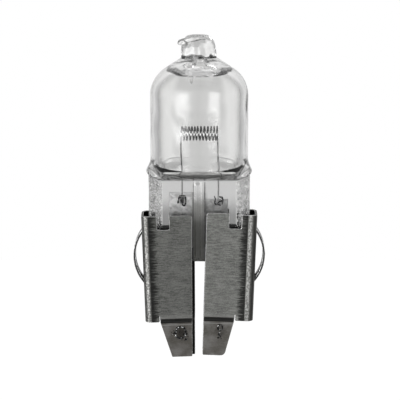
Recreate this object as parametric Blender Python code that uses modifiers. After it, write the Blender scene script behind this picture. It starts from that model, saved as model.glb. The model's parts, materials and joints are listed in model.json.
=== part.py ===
"""A clip-base quartz halogen bulb: capsule, filament, sealing foils, contact clips and springs.

Sizes are in millimetres times MM, so that the model is in metres. Z runs up the bulb's axis, X runs
across the two clips, -Y is the front, and the origin is on the axis at the foot of the tabs.
"""

import math

import bmesh
import bpy
from mathutils import Vector

MM = 0.001
SIDES = {"left": -1, "right": 1}
CLEARANCE = 0.05 * MM  # between pieces that touch

# Quartz bulb
BULB_RADIUS = 6.5 * MM
BULB_WALL = 1.1 * MM
BULB_TOP = 40.9 * MM
NECK_RADIUS = 2.3 * MM
DOME_SLOPE = math.radians(33)
DOME_RADIUS = 4.2 * MM
CROWN_WALL = 2.0 * MM  # glass over the cavity, at the axis
EXHAUST_BORE_RADIUS = 0.5 * MM
CORNER_SHARPNESS = 0.8  # how near to a rectangle's corners a square ring comes
ROUND_STEPS = 48
DOME_STEPS = 8
BORE_STEPS = 16

# Pinch seal
SHOULDER_TOP = 27.9 * MM
SHOULDER_DROP = 2.6 * MM
SHOULDER_FILLET = 0.5 * MM
SHOULDER_FLARE = 0.42 * MM
FLARE_SKEW = 0.7  # under 1, the flare is widest above the middle of the shoulder
SHOULDER_LIFT = 1.3 * MM  # how much higher the shoulder's foot is at the bulb's sides
SHOULDER_FLAT_SHARE = 0.72  # share of the half width over which the foot stays level
CAVITY_FLOOR = 25.6 * MM
CAVITY_FLOOR_DEPTH = 0.6 * MM
CAVITY_SQUARENESS = 0.8  # of its floor
CAVITY_CLOSE = math.radians(80)  # how far up its crown the cavity's rings go
PINCH_BOTTOM = 13.65 * MM
PINCH_WIDTH = 13.5 * MM
PINCH_THICKNESS = 2.8 * MM
RIM_WIDTH = 1.5 * MM
RIM_THICKNESS = 3.2 * MM
RIM_TOP = 24.9 * MM
RIB_WIDTH = 0.85 * MM
RIB_CENTRE = -0.2 * MM
EDGE_ROUND = 0.25 * MM
EDGE_STEPS = 3
FILLET_STEPS = 4
SHOULDER_STEPS = 8

# Exhaust tip
TIP_HEIGHT = 3.0 * MM
TIP_DEPTH_SHARE = 0.85
TIP_LIP_RADIUS = 0.36 * MM
TIP_LIP_SPREAD = 2.45 * MM
TIP_BLUNTNESS = 0.35  # from a cylinder (0) to a dome (1)
TIP_SQUARENESS = 0.24  # at its top
LIP_START = math.radians(170)
LIP_SWEEP = math.radians(110)
LIP_SAG = 0.45  # how far down the tip the lip's ends hang, as a share of its rise
LIP_STEPS = 12

# Filament, one wire
WIRE_DIAMETER = 0.22 * MM
COIL_DIAMETER = 2.05 * MM
COIL_TURNS = 11.5
COIL_LENGTH = 4.9 * MM
COIL_CENTRE = 0.06 * MM
COIL_HEIGHT = 30.87 * MM
COIL_STEPS = 12
LEG_BEND = 28.8 * MM
LEG_SEAL_X = {"left": 2.28 * MM, "right": 2.55 * MM}

# Foils, weld strips and outer leads
FOIL_THICKNESS = 0.04 * MM
FOIL_GAP = 0.03 * MM
FOIL_WIDTH = 3.15 * MM
FOIL_BOTTOM = 15.4 * MM
FOIL_TOP = {"left": 22.93 * MM, "right": 22.07 * MM}
FOIL_X = {"left": 2.38 * MM, "right": 2.24 * MM}
WELD_WIDTH = 1.15 * MM
WELD_LENGTH = 1.4 * MM
WELD_THICKNESS = 0.08 * MM
WELD_Z = {"left": 21.95 * MM, "right": 21.85 * MM}
LEAD_DIAMETER = 0.5 * MM
LEAD_OVERLAP = 1.4 * MM
LEAD_X = {"left": 2.38 * MM, "right": 2.5 * MM}
LEAD_INSET = {"left": 5.08 * MM, "right": 4.68 * MM}  # from the web's outer face to its lower end
LEAD_STEP = 0.06 * MM  # how far it has moved in just under the pinch
LEAD_END = 2.4 * MM

# Contact clips, each folded from one sheet
SHEET = 0.3 * MM
BEND_RADIUS = 0.9 * MM  # outside
BEND_STEPS = 6
WEB_GAP = 0.48 * MM  # between the pinch's side and the web
CLIP_TILT = {"left": math.radians(1.9), "right": math.radians(2.0)}
CLIP_RISE = {"left": 0.0 * MM, "right": 0.18 * MM}  # the right clip is pushed on a little further
CLIP_BOTTOM = 5.35 * MM
CLIP_HEIGHT = 14.6 * MM
INNER_RISE = {"left": 0.0 * MM, "right": 0.17 * MM}
FLANGE_WIDTH = 6.72 * MM
FLANGE_TAPER = {"left": 0.58 * MM, "right": 0.12 * MM}  # narrower at the tab's foot than at the top
BACK_EXTRA = {"left": 0.38 * MM, "right": 0.02 * MM}  # how much wider the back flange is
NOTCH_START = 2.05 * MM
NOTCH_WIDTH = 1.68 * MM
NOTCH_DEPTH = 1.9 * MM
SLIT_START = {"left": 1.95 * MM, "right": 2.45 * MM}
SLIT_WIDTH = 0.04 * MM
SLIT_HEIGHT = 0.85 * MM
TAB_FOOT_START = {"left": 3.41 * MM, "right": 3.63 * MM}
TAB_ROUND = {"left": 0.15 * MM, "right": 0.65 * MM}
CORNER_ROUND = 0.35 * MM
NOTCH_ROUND = 0.2 * MM
JOGGLE_ANGLE = math.radians(60)
JOGGLE_RADIUS = 0.45 * MM
JOGGLE_STEPS = 4

# Contact springs, lanced from the webs
WEB_LAND = 1.65 * MM  # web left above the spring's window
SPRING_CHORD = 7.3 * MM
SPRING_FOOT = 0.4 * MM
SPRING_BOW = 1.27 * MM
SPRING_WIDTH = 1.9 * MM
SPRING_STEPS = 8

CLIP_X = PINCH_WIDTH / 2 + WEB_GAP + SHEET  # outer face of the web at the spring's middle
WINDOW_HALF = SPRING_CHORD / 2 + SPRING_FOOT + CLEARANCE
SPRING_HEIGHT = CLIP_BOTTOM + CLIP_HEIGHT - WEB_LAND - WINDOW_HALF
RIM_HALF = RIM_THICKNESS / 2
FLANGE_Y = RIM_HALF + CLEARANCE + SHEET / 2
TAB_Y = LEAD_DIAMETER / 2 + CLEARANCE + SHEET / 2
WEB_FLAT = FLANGE_Y + SHEET / 2 - BEND_RADIUS
BEND_MIDDLE = BEND_RADIUS - SHEET / 2
BEND_LENGTH = BEND_MIDDLE * math.pi / 2
LEG_Y = -(FOIL_THICKNESS + WIRE_DIAMETER) / 2 - FOIL_GAP
WELD_Y = LEG_Y - (WIRE_DIAMETER + WELD_THICKNESS) / 2 - FOIL_GAP
LEAD_Y = (FOIL_THICKNESS + LEAD_DIAMETER) / 2 + FOIL_GAP
DOME_CENTRE = (
    BULB_TOP
    - (BULB_RADIUS - DOME_RADIUS * (1 - math.sin(DOME_SLOPE)) - NECK_RADIUS) * math.tan(DOME_SLOPE)
    - DOME_RADIUS * math.cos(DOME_SLOPE)
)


def clear_scene():
    for thing in list(bpy.data.objects):
        bpy.data.objects.remove(thing, do_unlink=True)


def collection(name):
    made = bpy.data.collections.new(name)
    bpy.context.scene.collection.children.link(made)
    return made


def material(name, colour, roughness, metallic=0.0, transmission=0.0):
    made = bpy.data.materials.new(name)
    made.use_nodes = True
    shader = made.node_tree.nodes["Principled BSDF"]
    shader.inputs["Base Color"].default_value = (*colour, 1)
    shader.inputs["Roughness"].default_value = roughness
    shader.inputs["Metallic"].default_value = metallic
    shader.inputs["Transmission Weight"].default_value = transmission
    return made


def mesh_object(name, bm, where, finish=None):
    bmesh.ops.recalc_face_normals(bm, faces=bm.faces)
    mesh = bpy.data.meshes.new(name)
    bm.to_mesh(mesh)
    bm.free()
    thing = bpy.data.objects.new(name, mesh)
    where.objects.link(thing)
    if finish:
        mesh.materials.append(finish)
    else:
        thing.hide_render = True
        thing.display_type = "WIRE"
    return thing


def smooth(thing, angle=40):
    thing.data.shade_smooth()
    thing.data.set_sharp_from_angle(angle=math.radians(angle))


def block(name, low, high, where, finish=None, round_by=0.0):
    """A box between two corners, with its edges rounded if asked."""
    low, high = Vector(low), Vector(high)
    bm = bmesh.new()
    bmesh.ops.create_cube(bm, size=1)
    bmesh.ops.scale(bm, vec=high - low, verts=bm.verts)
    bmesh.ops.translate(bm, vec=(low + high) / 2, verts=bm.verts)
    if round_by:
        edges = list(bm.edges)
        bmesh.ops.bevel(bm, geom=edges, offset=round_by, segments=EDGE_STEPS, profile=0.5, affect="EDGES")
    return mesh_object(name, bm, where, finish)


def rod(name, radius, low, high, where):
    """A vertical cylinder with its axis through the X and Y of low."""
    bm = bmesh.new()
    length = high[2] - low[2]
    bmesh.ops.create_cone(
        bm, cap_ends=True, segments=BORE_STEPS, radius1=radius, radius2=radius, depth=length
    )
    bmesh.ops.translate(bm, vec=(low[0], low[1], low[2] + length / 2), verts=bm.verts)
    return mesh_object(name, bm, where)


def wire(name, points, diameter, where, finish):
    """A wire of round section along points."""
    data = bpy.data.curves.new(name, "CURVE")
    data.dimensions = "3D"
    data.bevel_depth = diameter / 2
    data.bevel_resolution = 2
    data.use_fill_caps = True
    spline = data.splines.new("POLY")
    spline.points.add(len(points) - 1)
    for spot, point in zip(spline.points, points):
        spot.co = (*point, 1)
    data.materials.append(finish)
    thing = bpy.data.objects.new(name, data)
    where.objects.link(thing)
    return thing


def meshed(thing):
    """The curve object thing as a mesh object of the same name, with its caps welded."""
    graph = bpy.context.evaluated_depsgraph_get()
    mesh = bpy.data.meshes.new_from_object(thing.evaluated_get(graph))
    bm = bmesh.new()
    bm.from_mesh(mesh)
    bmesh.ops.remove_doubles(bm, verts=bm.verts, dist=1e-7)
    bm.to_mesh(mesh)
    bm.free()
    name, matrix, where = thing.name, thing.matrix_world.copy(), thing.users_collection[0]
    bpy.data.objects.remove(thing)
    made = bpy.data.objects.new(name, mesh)
    made.matrix_world = matrix
    where.objects.link(made)
    return made


def combine(thing, other, operation):
    modifier = thing.modifiers.new(other.name, "BOOLEAN")
    modifier.operation = operation
    modifier.object = other


def oval(half_width, half_depth, height, squareness=0.0, lift=0.0, centre=0.0):
    """A ring from an ellipse (squareness 0) to a blunt rectangle (1), raised by lift at its sides."""
    power = 1 - CORNER_SHARPNESS * squareness
    ring = []
    for step in range(ROUND_STEPS):
        angle = 2 * math.pi * (step + 0.5) / ROUND_STEPS
        across = math.copysign(abs(math.cos(angle)) ** power, math.cos(angle))
        along = math.copysign(abs(math.sin(angle)) ** power, math.sin(angle))
        rise = lift * max(0.0, abs(across) - SHOULDER_FLAT_SHARE) / (1 - SHOULDER_FLAT_SHARE)
        ring.append(Vector((centre + half_width * across, half_depth * along, height + rise)))
    return ring


def loft(name, rings, where, finish=None):
    """A closed solid through rings of equal point counts, bottom to top."""
    bm = bmesh.new()
    rows = [[bm.verts.new(point) for point in ring] for ring in rings]
    for lower, upper in zip(rows, rows[1:]):
        for i in range(len(lower)):
            j = (i + 1) % len(lower)
            bm.faces.new((lower[i], lower[j], upper[j], upper[i]))
    bm.faces.new(list(reversed(rows[0])))
    bm.faces.new(rows[-1])
    return mesh_object(name, bm, where, finish)


def eased(count):
    """Angles over a quarter turn, without its two ends."""
    return [math.pi / 2 * step / count for step in range(1, count)]


def shoulder_rings():
    """Outer rings from the pinch's foot up to the bulb's cylinder."""
    slab = PINCH_THICKNESS / 2
    fillet_top = slab + SHOULDER_FILLET
    fillet_z = SHOULDER_TOP - SHOULDER_DROP
    half_width = PINCH_WIDTH / 2 - EDGE_ROUND
    profile = [(slab, fillet_z - SHOULDER_FILLET)]
    for angle in eased(FILLET_STEPS):
        along = fillet_top - SHOULDER_FILLET * math.cos(angle)
        profile.append((along, fillet_z - SHOULDER_FILLET * (1 - math.sin(angle))))
    for angle in [0] + eased(SHOULDER_STEPS):
        along = fillet_top + (BULB_RADIUS - fillet_top) * math.sin(angle)
        profile.append((along, SHOULDER_TOP - SHOULDER_DROP * math.cos(angle)))
    rings = [oval(half_width, slab, PINCH_BOTTOM, 1)]
    for depth, height in profile:
        flat = (BULB_RADIUS - depth) / (BULB_RADIUS - slab)
        flare = SHOULDER_FLARE * math.sin(math.pi * flat**FLARE_SKEW)
        width = BULB_RADIUS + (half_width - BULB_RADIUS) * flat + flare
        rings.append(oval(width, depth, height, flat, SHOULDER_LIFT * flat))
    rings.append(oval(BULB_RADIUS, BULB_RADIUS, SHOULDER_TOP))
    return rings


def dome_rings():
    rings = []
    for step in range(DOME_STEPS + 1):
        angle = (math.pi / 2 - DOME_SLOPE) * step / DOME_STEPS
        radius = BULB_RADIUS - DOME_RADIUS * (1 - math.cos(angle))
        rings.append(oval(radius, radius, DOME_CENTRE + DOME_RADIUS * math.sin(angle)))
    rings.append(oval(NECK_RADIUS, NECK_RADIUS, BULB_TOP))
    return rings


def cavity_rings():
    radius = BULB_RADIUS - BULB_WALL
    floor = CAVITY_FLOOR_DEPTH / 2
    rings = []
    for angle in [0] + eased(SHOULDER_STEPS) + [math.pi / 2]:
        depth = floor + (radius - floor) * math.sin(angle)
        height = SHOULDER_TOP - (SHOULDER_TOP - CAVITY_FLOOR) * math.cos(angle)
        square = CAVITY_SQUARENESS * math.cos(angle)
        rings.append(oval(radius - floor * math.cos(angle), depth, height, square))
    crown = BULB_TOP - CROWN_WALL - DOME_CENTRE
    for step in range(DOME_STEPS + 1):
        angle = CAVITY_CLOSE * step / DOME_STEPS
        across = radius * math.cos(angle)
        rings.append(oval(across, across, DOME_CENTRE + crown * math.sin(angle)))
    return rings


def quartz_envelope(where, cutters, glass):
    envelope = loft("quartz_envelope", shoulder_rings() + dome_rings(), where, glass)
    for name, side in SIDES.items():
        outer, inner = PINCH_WIDTH / 2, PINCH_WIDTH / 2 - RIM_WIDTH
        low = (min(side * outer, side * inner), -RIM_HALF, PINCH_BOTTOM)
        high = (max(side * outer, side * inner), RIM_HALF, RIM_TOP)
        combine(envelope, block(f"rim_{name}", low, high, cutters, round_by=EDGE_ROUND), "UNION")
    low = (RIB_CENTRE - RIB_WIDTH / 2, -RIM_HALF, PINCH_BOTTOM + EDGE_ROUND)
    high = (RIB_CENTRE + RIB_WIDTH / 2, RIM_HALF, RIM_TOP)
    combine(envelope, block("rib", low, high, cutters, round_by=EDGE_ROUND), "UNION")
    combine(envelope, loft("cavity", cavity_rings(), cutters), "DIFFERENCE")
    bore_foot = (0, 0, BULB_TOP - CROWN_WALL - BULB_WALL)
    bore = rod("exhaust_bore", EXHAUST_BORE_RADIUS, bore_foot, (0, 0, BULB_TOP + BULB_WALL), cutters)
    combine(envelope, bore, "DIFFERENCE")
    for name, side in SIDES.items():
        for room in seal_rooms(name, side, cutters):
            combine(envelope, room, "DIFFERENCE")
    smooth(envelope)


def seal_rooms(name, side, cutters):
    """The room that the foil, weld strip, filament leg and outer lead take up in the pinch."""
    foil_x = side * FOIL_X[name]
    leg_x = side * LEG_SEAL_X[name]
    lead_x = side * LEAD_X[name]
    half = FOIL_THICKNESS / 2 + FOIL_GAP
    wide = FOIL_WIDTH / 2 + FOIL_GAP
    weld = WELD_WIDTH / 2 + FOIL_GAP
    weld_top = WELD_Z[name] + WELD_LENGTH / 2 + FOIL_GAP
    weld_foot = WELD_Z[name] - WELD_LENGTH / 2 - FOIL_GAP
    foil_low = (foil_x - wide, -half, FOIL_BOTTOM - FOIL_GAP)
    foil_high = (foil_x + wide, half, FOIL_TOP[name] + FOIL_GAP)
    weld_low = (leg_x - weld, WELD_Y - WELD_THICKNESS / 2 - FOIL_GAP, weld_foot)
    leg_radius = WIRE_DIAMETER / 2 + CLEARANCE
    lead_radius = LEAD_DIAMETER / 2 + CLEARANCE
    lead_top = FOIL_BOTTOM + LEAD_OVERLAP + FOIL_GAP
    leg_top = CAVITY_FLOOR + CAVITY_FLOOR_DEPTH
    return [
        block(f"foil_room_{name}", foil_low, foil_high, cutters),
        block(f"weld_room_{name}", weld_low, (leg_x + weld, 0, weld_top), cutters),
        rod(f"leg_room_{name}", leg_radius, (leg_x, LEG_Y, WELD_Z[name]), (leg_x, LEG_Y, leg_top), cutters),
        rod(
            f"lead_room_{name}",
            lead_radius,
            (lead_x, LEAD_Y, PINCH_BOTTOM - RIM_THICKNESS),
            (lead_x, LEAD_Y, lead_top),
            cutters,
        ),
    ]


def exhaust_tip(where, cutters, glass):
    """The sealed stub, with the lip that its folded end makes over the top."""
    foot = BULB_TOP + CLEARANCE
    rise = TIP_HEIGHT - TIP_LIP_RADIUS
    rings = [oval(NECK_RADIUS, NECK_RADIUS, foot)]
    for angle in eased(DOME_STEPS):
        across = NECK_RADIUS * math.cos(angle) ** TIP_BLUNTNESS
        height = foot + rise * math.sin(angle)
        square = TIP_SQUARENESS * angle / (math.pi / 2)
        rings.append(oval(across, across * TIP_DEPTH_SHARE, height, square))
    tip = loft("exhaust_tip", rings, where, glass)
    points = []
    for step in range(LIP_STEPS + 1):
        angle = LIP_START - LIP_SWEEP * step / LIP_STEPS
        across = TIP_LIP_SPREAD * math.cos(angle)
        points.append((across, 0, foot + rise * (1 - LIP_SAG + LIP_SAG * math.sqrt(math.sin(angle)))))
    lip = meshed(wire("tip_lip", points, 2 * TIP_LIP_RADIUS, cutters, glass))
    lip.hide_render = True
    lip.display_type = "WIRE"
    combine(tip, lip, "UNION")
    smooth(tip)


def filament(where, tungsten):
    """One wire: up a leg, round the coil, and down the other leg."""
    radius = (COIL_DIAMETER - WIRE_DIAMETER) / 2
    start = {side: COIL_CENTRE + side * COIL_LENGTH / 2 for side in (-1, 1)}
    count = round(COIL_TURNS * COIL_STEPS)
    coil = []
    for step in range(count + 1):
        angle = math.pi - 2 * math.pi * step / COIL_STEPS
        across = start[-1] + COIL_LENGTH * step / count
        coil.append((across, radius * math.cos(angle), COIL_HEIGHT + radius * math.sin(angle)))
    left, right = (leg(name, side, start[side], radius) for name, side in SIDES.items())
    return wire("filament", left + coil + right[::-1], WIRE_DIAMETER, where, tungsten)


def leg(name, side, start, radius):
    """Points up one filament leg, from its weld on the foil to just under the coil."""
    x = side * LEG_SEAL_X[name]
    entry = CAVITY_FLOOR + CAVITY_FLOOR_DEPTH
    beside = side * radius  # the left leg meets the coil's front, the right leg its back
    return [
        (x, LEG_Y, WELD_Z[name] - WELD_LENGTH / 3),
        (x, LEG_Y, entry),
        (x + (start - x) * 0.5, (LEG_Y + beside) / 2, (entry + LEG_BEND) / 2),
        (start, beside, LEG_BEND),
        (start, beside, COIL_HEIGHT - WIRE_DIAMETER),
    ]


def seal_parts(name, side, where, molybdenum, weld_metal):
    """The foil, the weld strip over the filament's leg, and the outer lead of one side."""
    x = side * FOIL_X[name]
    half = FOIL_THICKNESS / 2
    foil_low = (x - FOIL_WIDTH / 2, -half, FOIL_BOTTOM)
    foil_high = (x + FOIL_WIDTH / 2, half, FOIL_TOP[name])
    block(f"foil_{name}", foil_low, foil_high, where, molybdenum)
    x = side * LEG_SEAL_X[name]
    weld_low = (x - WELD_WIDTH / 2, WELD_Y - WELD_THICKNESS / 2, WELD_Z[name] - WELD_LENGTH / 2)
    weld_high = (x + WELD_WIDTH / 2, WELD_Y + WELD_THICKNESS / 2, WELD_Z[name] + WELD_LENGTH / 2)
    block(f"weld_tab_{name}", weld_low, weld_high, where, weld_metal)
    x, end_x = side * LEAD_X[name], side * (CLIP_X - LEAD_INSET[name])
    tab_top = CLIP_BOTTOM + SLIT_HEIGHT
    points = [
        (x, LEAD_Y, FOIL_BOTTOM + LEAD_OVERLAP),
        (x, LEAD_Y, PINCH_BOTTOM - 2 * CLEARANCE),
        (x, LEAD_Y - LEAD_STEP, PINCH_BOTTOM - LEAD_DIAMETER),
        (end_x, 0, tab_top),
        (end_x, 0, LEAD_END),
    ]
    wire(f"outer_lead_{name}", points, LEAD_DIAMETER, where, molybdenum)


def rounded(corners, steps=4):
    """An outline through corners (x, z, radius), each turned into an arc of its radius."""
    points = []
    for i, (x, z, radius) in enumerate(corners):
        here = Vector((x, z))
        if not radius:
            points.append(here)
            continue
        before = (Vector(corners[i - 1][:2]) - here).normalized()
        after = (Vector(corners[(i + 1) % len(corners)][:2]) - here).normalized()
        half = before.angle(after) / 2
        centre = here + (before + after).normalized() * radius / math.sin(half)
        first = here + before * radius / math.tan(half) - centre
        last = here + after * radius / math.tan(half) - centre
        for step in range(steps + 1):
            share = step / steps
            points.append(centre + (first * (1 - share) + last * share).normalized() * radius)
    return points


def developed(across):
    """Where a point of a flange lies on the flat blank, from its distance to the web's outer face."""
    return WEB_FLAT + BEND_LENGTH + across - BEND_RADIUS


def joggle():
    """The straight length between the two bends that bring a tab in, and the two ends' heights."""
    inwards = FLANGE_Y - TAB_Y
    straight = (inwards - 2 * JOGGLE_RADIUS * (1 - math.cos(JOGGLE_ANGLE))) / math.sin(JOGGLE_ANGLE)
    drop = 2 * JOGGLE_RADIUS * math.sin(JOGGLE_ANGLE) + straight * math.cos(JOGGLE_ANGLE)
    return straight, drop


def tab_length():
    """Length of a tab on the blank, below the clip's bottom edge, so that its foot ends at Z 0."""
    straight, drop = joggle()
    used = 2 * JOGGLE_RADIUS * JOGGLE_ANGLE + straight
    return CLIP_BOTTOM + used - drop


def half_blank(name, extra):
    """Corners of half of a clip's flat blank, from the web's foot out to the flange and to its top."""
    straight, _ = joggle()
    joggle_foot = SLIT_HEIGHT - 2 * JOGGLE_RADIUS * JOGGLE_ANGLE - straight
    top, notch_foot = CLIP_HEIGHT, CLIP_HEIGHT - NOTCH_DEPTH
    inner_top = top + INNER_RISE[name]
    edge = FLANGE_WIDTH + extra
    slit, foot = SLIT_START[name], -tab_length()
    return [
        (developed(slit), 0, CORNER_ROUND / 2),
        (developed(slit), SLIT_HEIGHT, 0),
        (developed(slit + SLIT_WIDTH), SLIT_HEIGHT, 0),
        (developed(slit + SLIT_WIDTH), joggle_foot, 0),
        (developed(TAB_FOOT_START[name]), foot, TAB_ROUND[name]),
        (developed(edge - FLANGE_TAPER[name]), foot, TAB_ROUND["left"]),
        (developed(edge), inner_top, CORNER_ROUND),
        (developed(NOTCH_START + NOTCH_WIDTH), inner_top, 0),
        (developed(NOTCH_START + NOTCH_WIDTH), notch_foot, NOTCH_ROUND),
        (developed(NOTCH_START), notch_foot, NOTCH_ROUND),
        (developed(NOTCH_START), top, 0),
    ]


def blank(name):
    """The clip's flat blank as a flat mesh: developed width in X, height over its bottom in Y."""
    front = [(-x, z, radius) for x, z, radius in half_blank(name, 0)]
    back = half_blank(name, BACK_EXTRA[name])
    window_top = CLIP_HEIGHT - WEB_LAND
    window_foot = window_top - 2 * WINDOW_HALF
    half_width = SPRING_WIDTH / 2 + CLEARANCE
    window = [
        (-half_width, window_foot),
        (half_width, window_foot),
        (half_width, window_top),
        (-half_width, window_top),
    ]
    bm = bmesh.new()
    edges = []
    for outline in (rounded(back + front[::-1]), window):
        corners = [bm.verts.new((*point, 0)) for point in outline]
        edges += [bm.edges.new((a, b)) for a, b in zip(corners, corners[1:] + corners[:1])]
    bmesh.ops.triangle_fill(bm, use_beauty=True, edges=edges)
    return bm


def bend_lines():
    """Where the blank must be divided so that it can be bent: (point, direction across the line)."""
    lines = []
    for step in range(BEND_STEPS + 1):
        across = WEB_FLAT + BEND_LENGTH * step / BEND_STEPS
        lines += [((across, 0, 0), (1, 0, 0)), ((-across, 0, 0), (1, 0, 0))]
    straight, _ = joggle()
    arc = JOGGLE_RADIUS * JOGGLE_ANGLE
    for step in range(JOGGLE_STEPS + 1):
        for start in (0, arc + straight):
            height = SLIT_HEIGHT - start - arc * step / JOGGLE_STEPS
            lines.append(((0, height, 0), (0, 1, 0)))
    return lines


def bent(name, across, height):
    """Where the blank's point goes: (distance in from the web's outer face, Y, height)."""
    side = math.copysign(1, across)
    beyond = abs(across) - WEB_FLAT
    if beyond <= 0:
        return SHEET / 2, across, height
    if beyond < BEND_LENGTH:
        angle = beyond / BEND_MIDDLE
        y = WEB_FLAT + BEND_MIDDLE * math.sin(angle)
        return BEND_RADIUS - BEND_MIDDLE * math.cos(angle), side * y, height
    inwards = BEND_RADIUS + beyond - BEND_LENGTH
    if inwards < SLIT_START[name] + SLIT_WIDTH / 2:
        return inwards, side * FLANGE_Y, height
    moved, height = joggled(height)
    return inwards, side * (FLANGE_Y - moved), height


def joggled(height):
    """How far a tab has moved in at this height of the blank, and its height after bending."""
    below = SLIT_HEIGHT - height
    if below <= 0:
        return 0.0, height
    straight, drop = joggle()
    arc = JOGGLE_RADIUS * JOGGLE_ANGLE
    first = min(below, arc) / JOGGLE_RADIUS
    slope = min(max(below - arc, 0), straight)
    second = min(max(below - arc - straight, 0), arc) / JOGGLE_RADIUS
    rest = max(below - 2 * arc - straight, 0)
    turned = JOGGLE_ANGLE - second
    inwards = JOGGLE_RADIUS * (1 - math.cos(first)) + slope * math.sin(JOGGLE_ANGLE)
    inwards += JOGGLE_RADIUS * (math.cos(turned) - math.cos(JOGGLE_ANGLE))
    fallen = JOGGLE_RADIUS * math.sin(first) + slope * math.cos(JOGGLE_ANGLE)
    fallen += JOGGLE_RADIUS * (math.sin(JOGGLE_ANGLE) - math.sin(turned)) + rest
    return inwards, SLIT_HEIGHT - fallen


def thicken(thing):
    """The flat or bent sheet thing at its full thickness, with flat faces shaded flat."""
    sheet = thing.modifiers.new("sheet", "SOLIDIFY")
    sheet.thickness = SHEET
    sheet.offset = 0
    sheet.use_even_offset = True
    thing.modifiers.new("shading", "WEIGHTED_NORMAL")


def clip(name, side, frame, where, steel):
    """A clip: its flat blank, bent at every line, in the frame's own axes."""
    bm = blank(name)
    for point, normal in bend_lines():
        geometry = bm.verts[:] + bm.edges[:] + bm.faces[:]
        bmesh.ops.bisect_plane(bm, geom=geometry, dist=1e-8, plane_co=point, plane_no=normal)
    for vertex in bm.verts:
        inwards, y, height = bent(name, vertex.co.x, vertex.co.y)
        vertex.co = (-side * inwards, y, height + CLIP_BOTTOM - SPRING_HEIGHT)
    thing = mesh_object(f"clip_{name}", bm, where, steel)
    thing.parent = frame
    thicken(thing)
    smooth(thing)


def contact_spring(name, side, frame, where, steel):
    """A bowed strip with a flat foot at each end, lying in the web's window."""
    half = SPRING_CHORD / 2
    radius = (half**2 + SPRING_BOW**2) / (2 * SPRING_BOW)
    reach = math.asin(half / radius)
    line = [(-SHEET / 2, -half - SPRING_FOOT)]
    for step in range(2 * SPRING_STEPS + 1):
        angle = reach * (step / SPRING_STEPS - 1)
        line.append((radius * (math.cos(angle) - 1) + SPRING_BOW - SHEET / 2, radius * math.sin(angle)))
    line.append((-SHEET / 2, half + SPRING_FOOT))
    bm = bmesh.new()
    rows = [
        [bm.verts.new((side * out, y, z)) for out, z in line]
        for y in (-SPRING_WIDTH / 2, SPRING_WIDTH / 2)
    ]
    for a, b, c, d in zip(rows[0], rows[0][1:], rows[1][1:], rows[1]):
        bm.faces.new((a, b, c, d))
    thing = mesh_object(f"contact_spring_{name}", bm, where, steel)
    thing.parent = frame
    thicken(thing)
    smooth(thing)


def clip_frame(name, side, where):
    """An empty on the web's outer face at the spring's middle: the clip and its spring lean with it."""
    frame = bpy.data.objects.new(f"clip_frame_{name}", None)
    frame.location = (side * CLIP_X, 0, SPRING_HEIGHT + CLIP_RISE[name])
    frame.rotation_euler = (0, side * CLIP_TILT[name], 0)
    where.objects.link(frame)
    return frame


def main():
    clear_scene()
    parts, cutters = collection("headlight_bulb"), collection("cutters")
    glass = material("quartz", (0.9, 0.92, 0.93), 0.03, transmission=1.0)
    tungsten = material("tungsten", (0.09, 0.09, 0.1), 0.45, metallic=1.0)
    molybdenum = material("molybdenum", (0.42, 0.42, 0.43), 0.4, metallic=1.0)
    weld_metal = material("weld_metal", (0.08, 0.08, 0.09), 0.6, metallic=1.0)
    clip_steel = material("clip_steel", (0.36, 0.37, 0.35), 0.4, metallic=1.0)
    spring_steel = material("spring_steel", (0.28, 0.28, 0.28), 0.35, metallic=1.0)
    quartz_envelope(parts, cutters, glass)
    exhaust_tip(parts, cutters, glass)
    filament(parts, tungsten)
    for name, side in SIDES.items():
        seal_parts(name, side, parts, molybdenum, weld_metal)
        frame = clip_frame(name, side, parts)
        clip(name, side, frame, parts, clip_steel)
        contact_spring(name, side, frame, parts, spring_steel)


main()
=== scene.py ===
# %% [markdown]
# # A clip-base quartz bulb
#
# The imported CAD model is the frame: its bodies, its nodes and its sizes. This lesson dresses it.
# The clear capsule, the wires inside it and the two springs are rebuilt as finer meshes. The folded
# contact clips and the outer leads keep their CAD meshes and get worn metal finishes.

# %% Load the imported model
import json
import math

import bmesh
import bpy
import numpy as np
from mathutils import Matrix, Vector, noise


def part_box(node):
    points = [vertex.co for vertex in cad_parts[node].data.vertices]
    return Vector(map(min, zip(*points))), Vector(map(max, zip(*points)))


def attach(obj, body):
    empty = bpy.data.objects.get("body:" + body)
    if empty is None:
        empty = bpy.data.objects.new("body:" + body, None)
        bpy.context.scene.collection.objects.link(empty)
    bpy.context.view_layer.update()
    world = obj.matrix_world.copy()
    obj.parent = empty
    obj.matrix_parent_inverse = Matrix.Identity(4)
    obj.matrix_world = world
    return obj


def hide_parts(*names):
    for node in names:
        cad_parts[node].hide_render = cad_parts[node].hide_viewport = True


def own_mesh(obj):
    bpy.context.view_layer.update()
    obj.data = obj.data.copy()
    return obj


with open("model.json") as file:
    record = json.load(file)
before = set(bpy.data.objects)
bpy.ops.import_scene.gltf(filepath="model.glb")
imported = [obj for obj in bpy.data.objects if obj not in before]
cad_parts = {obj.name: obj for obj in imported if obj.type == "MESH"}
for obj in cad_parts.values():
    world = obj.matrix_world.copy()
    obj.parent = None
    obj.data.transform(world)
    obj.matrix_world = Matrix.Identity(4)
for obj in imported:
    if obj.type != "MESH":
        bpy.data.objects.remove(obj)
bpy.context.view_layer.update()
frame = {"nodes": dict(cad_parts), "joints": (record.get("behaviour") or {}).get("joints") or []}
MM = 0.001
SIDES = {"left": -1, "right": 1}

# %% [markdown]
# ## Where each clip stands
#
# Each clip leans a little, and its spring presses in along the joint's axis. So the joint gives the
# lean, and the spring's box gives the middle of the web. A frame there, turned with the clip, is a
# handy origin: in its axes a clip is square again, which keeps every later pattern simple.

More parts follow.
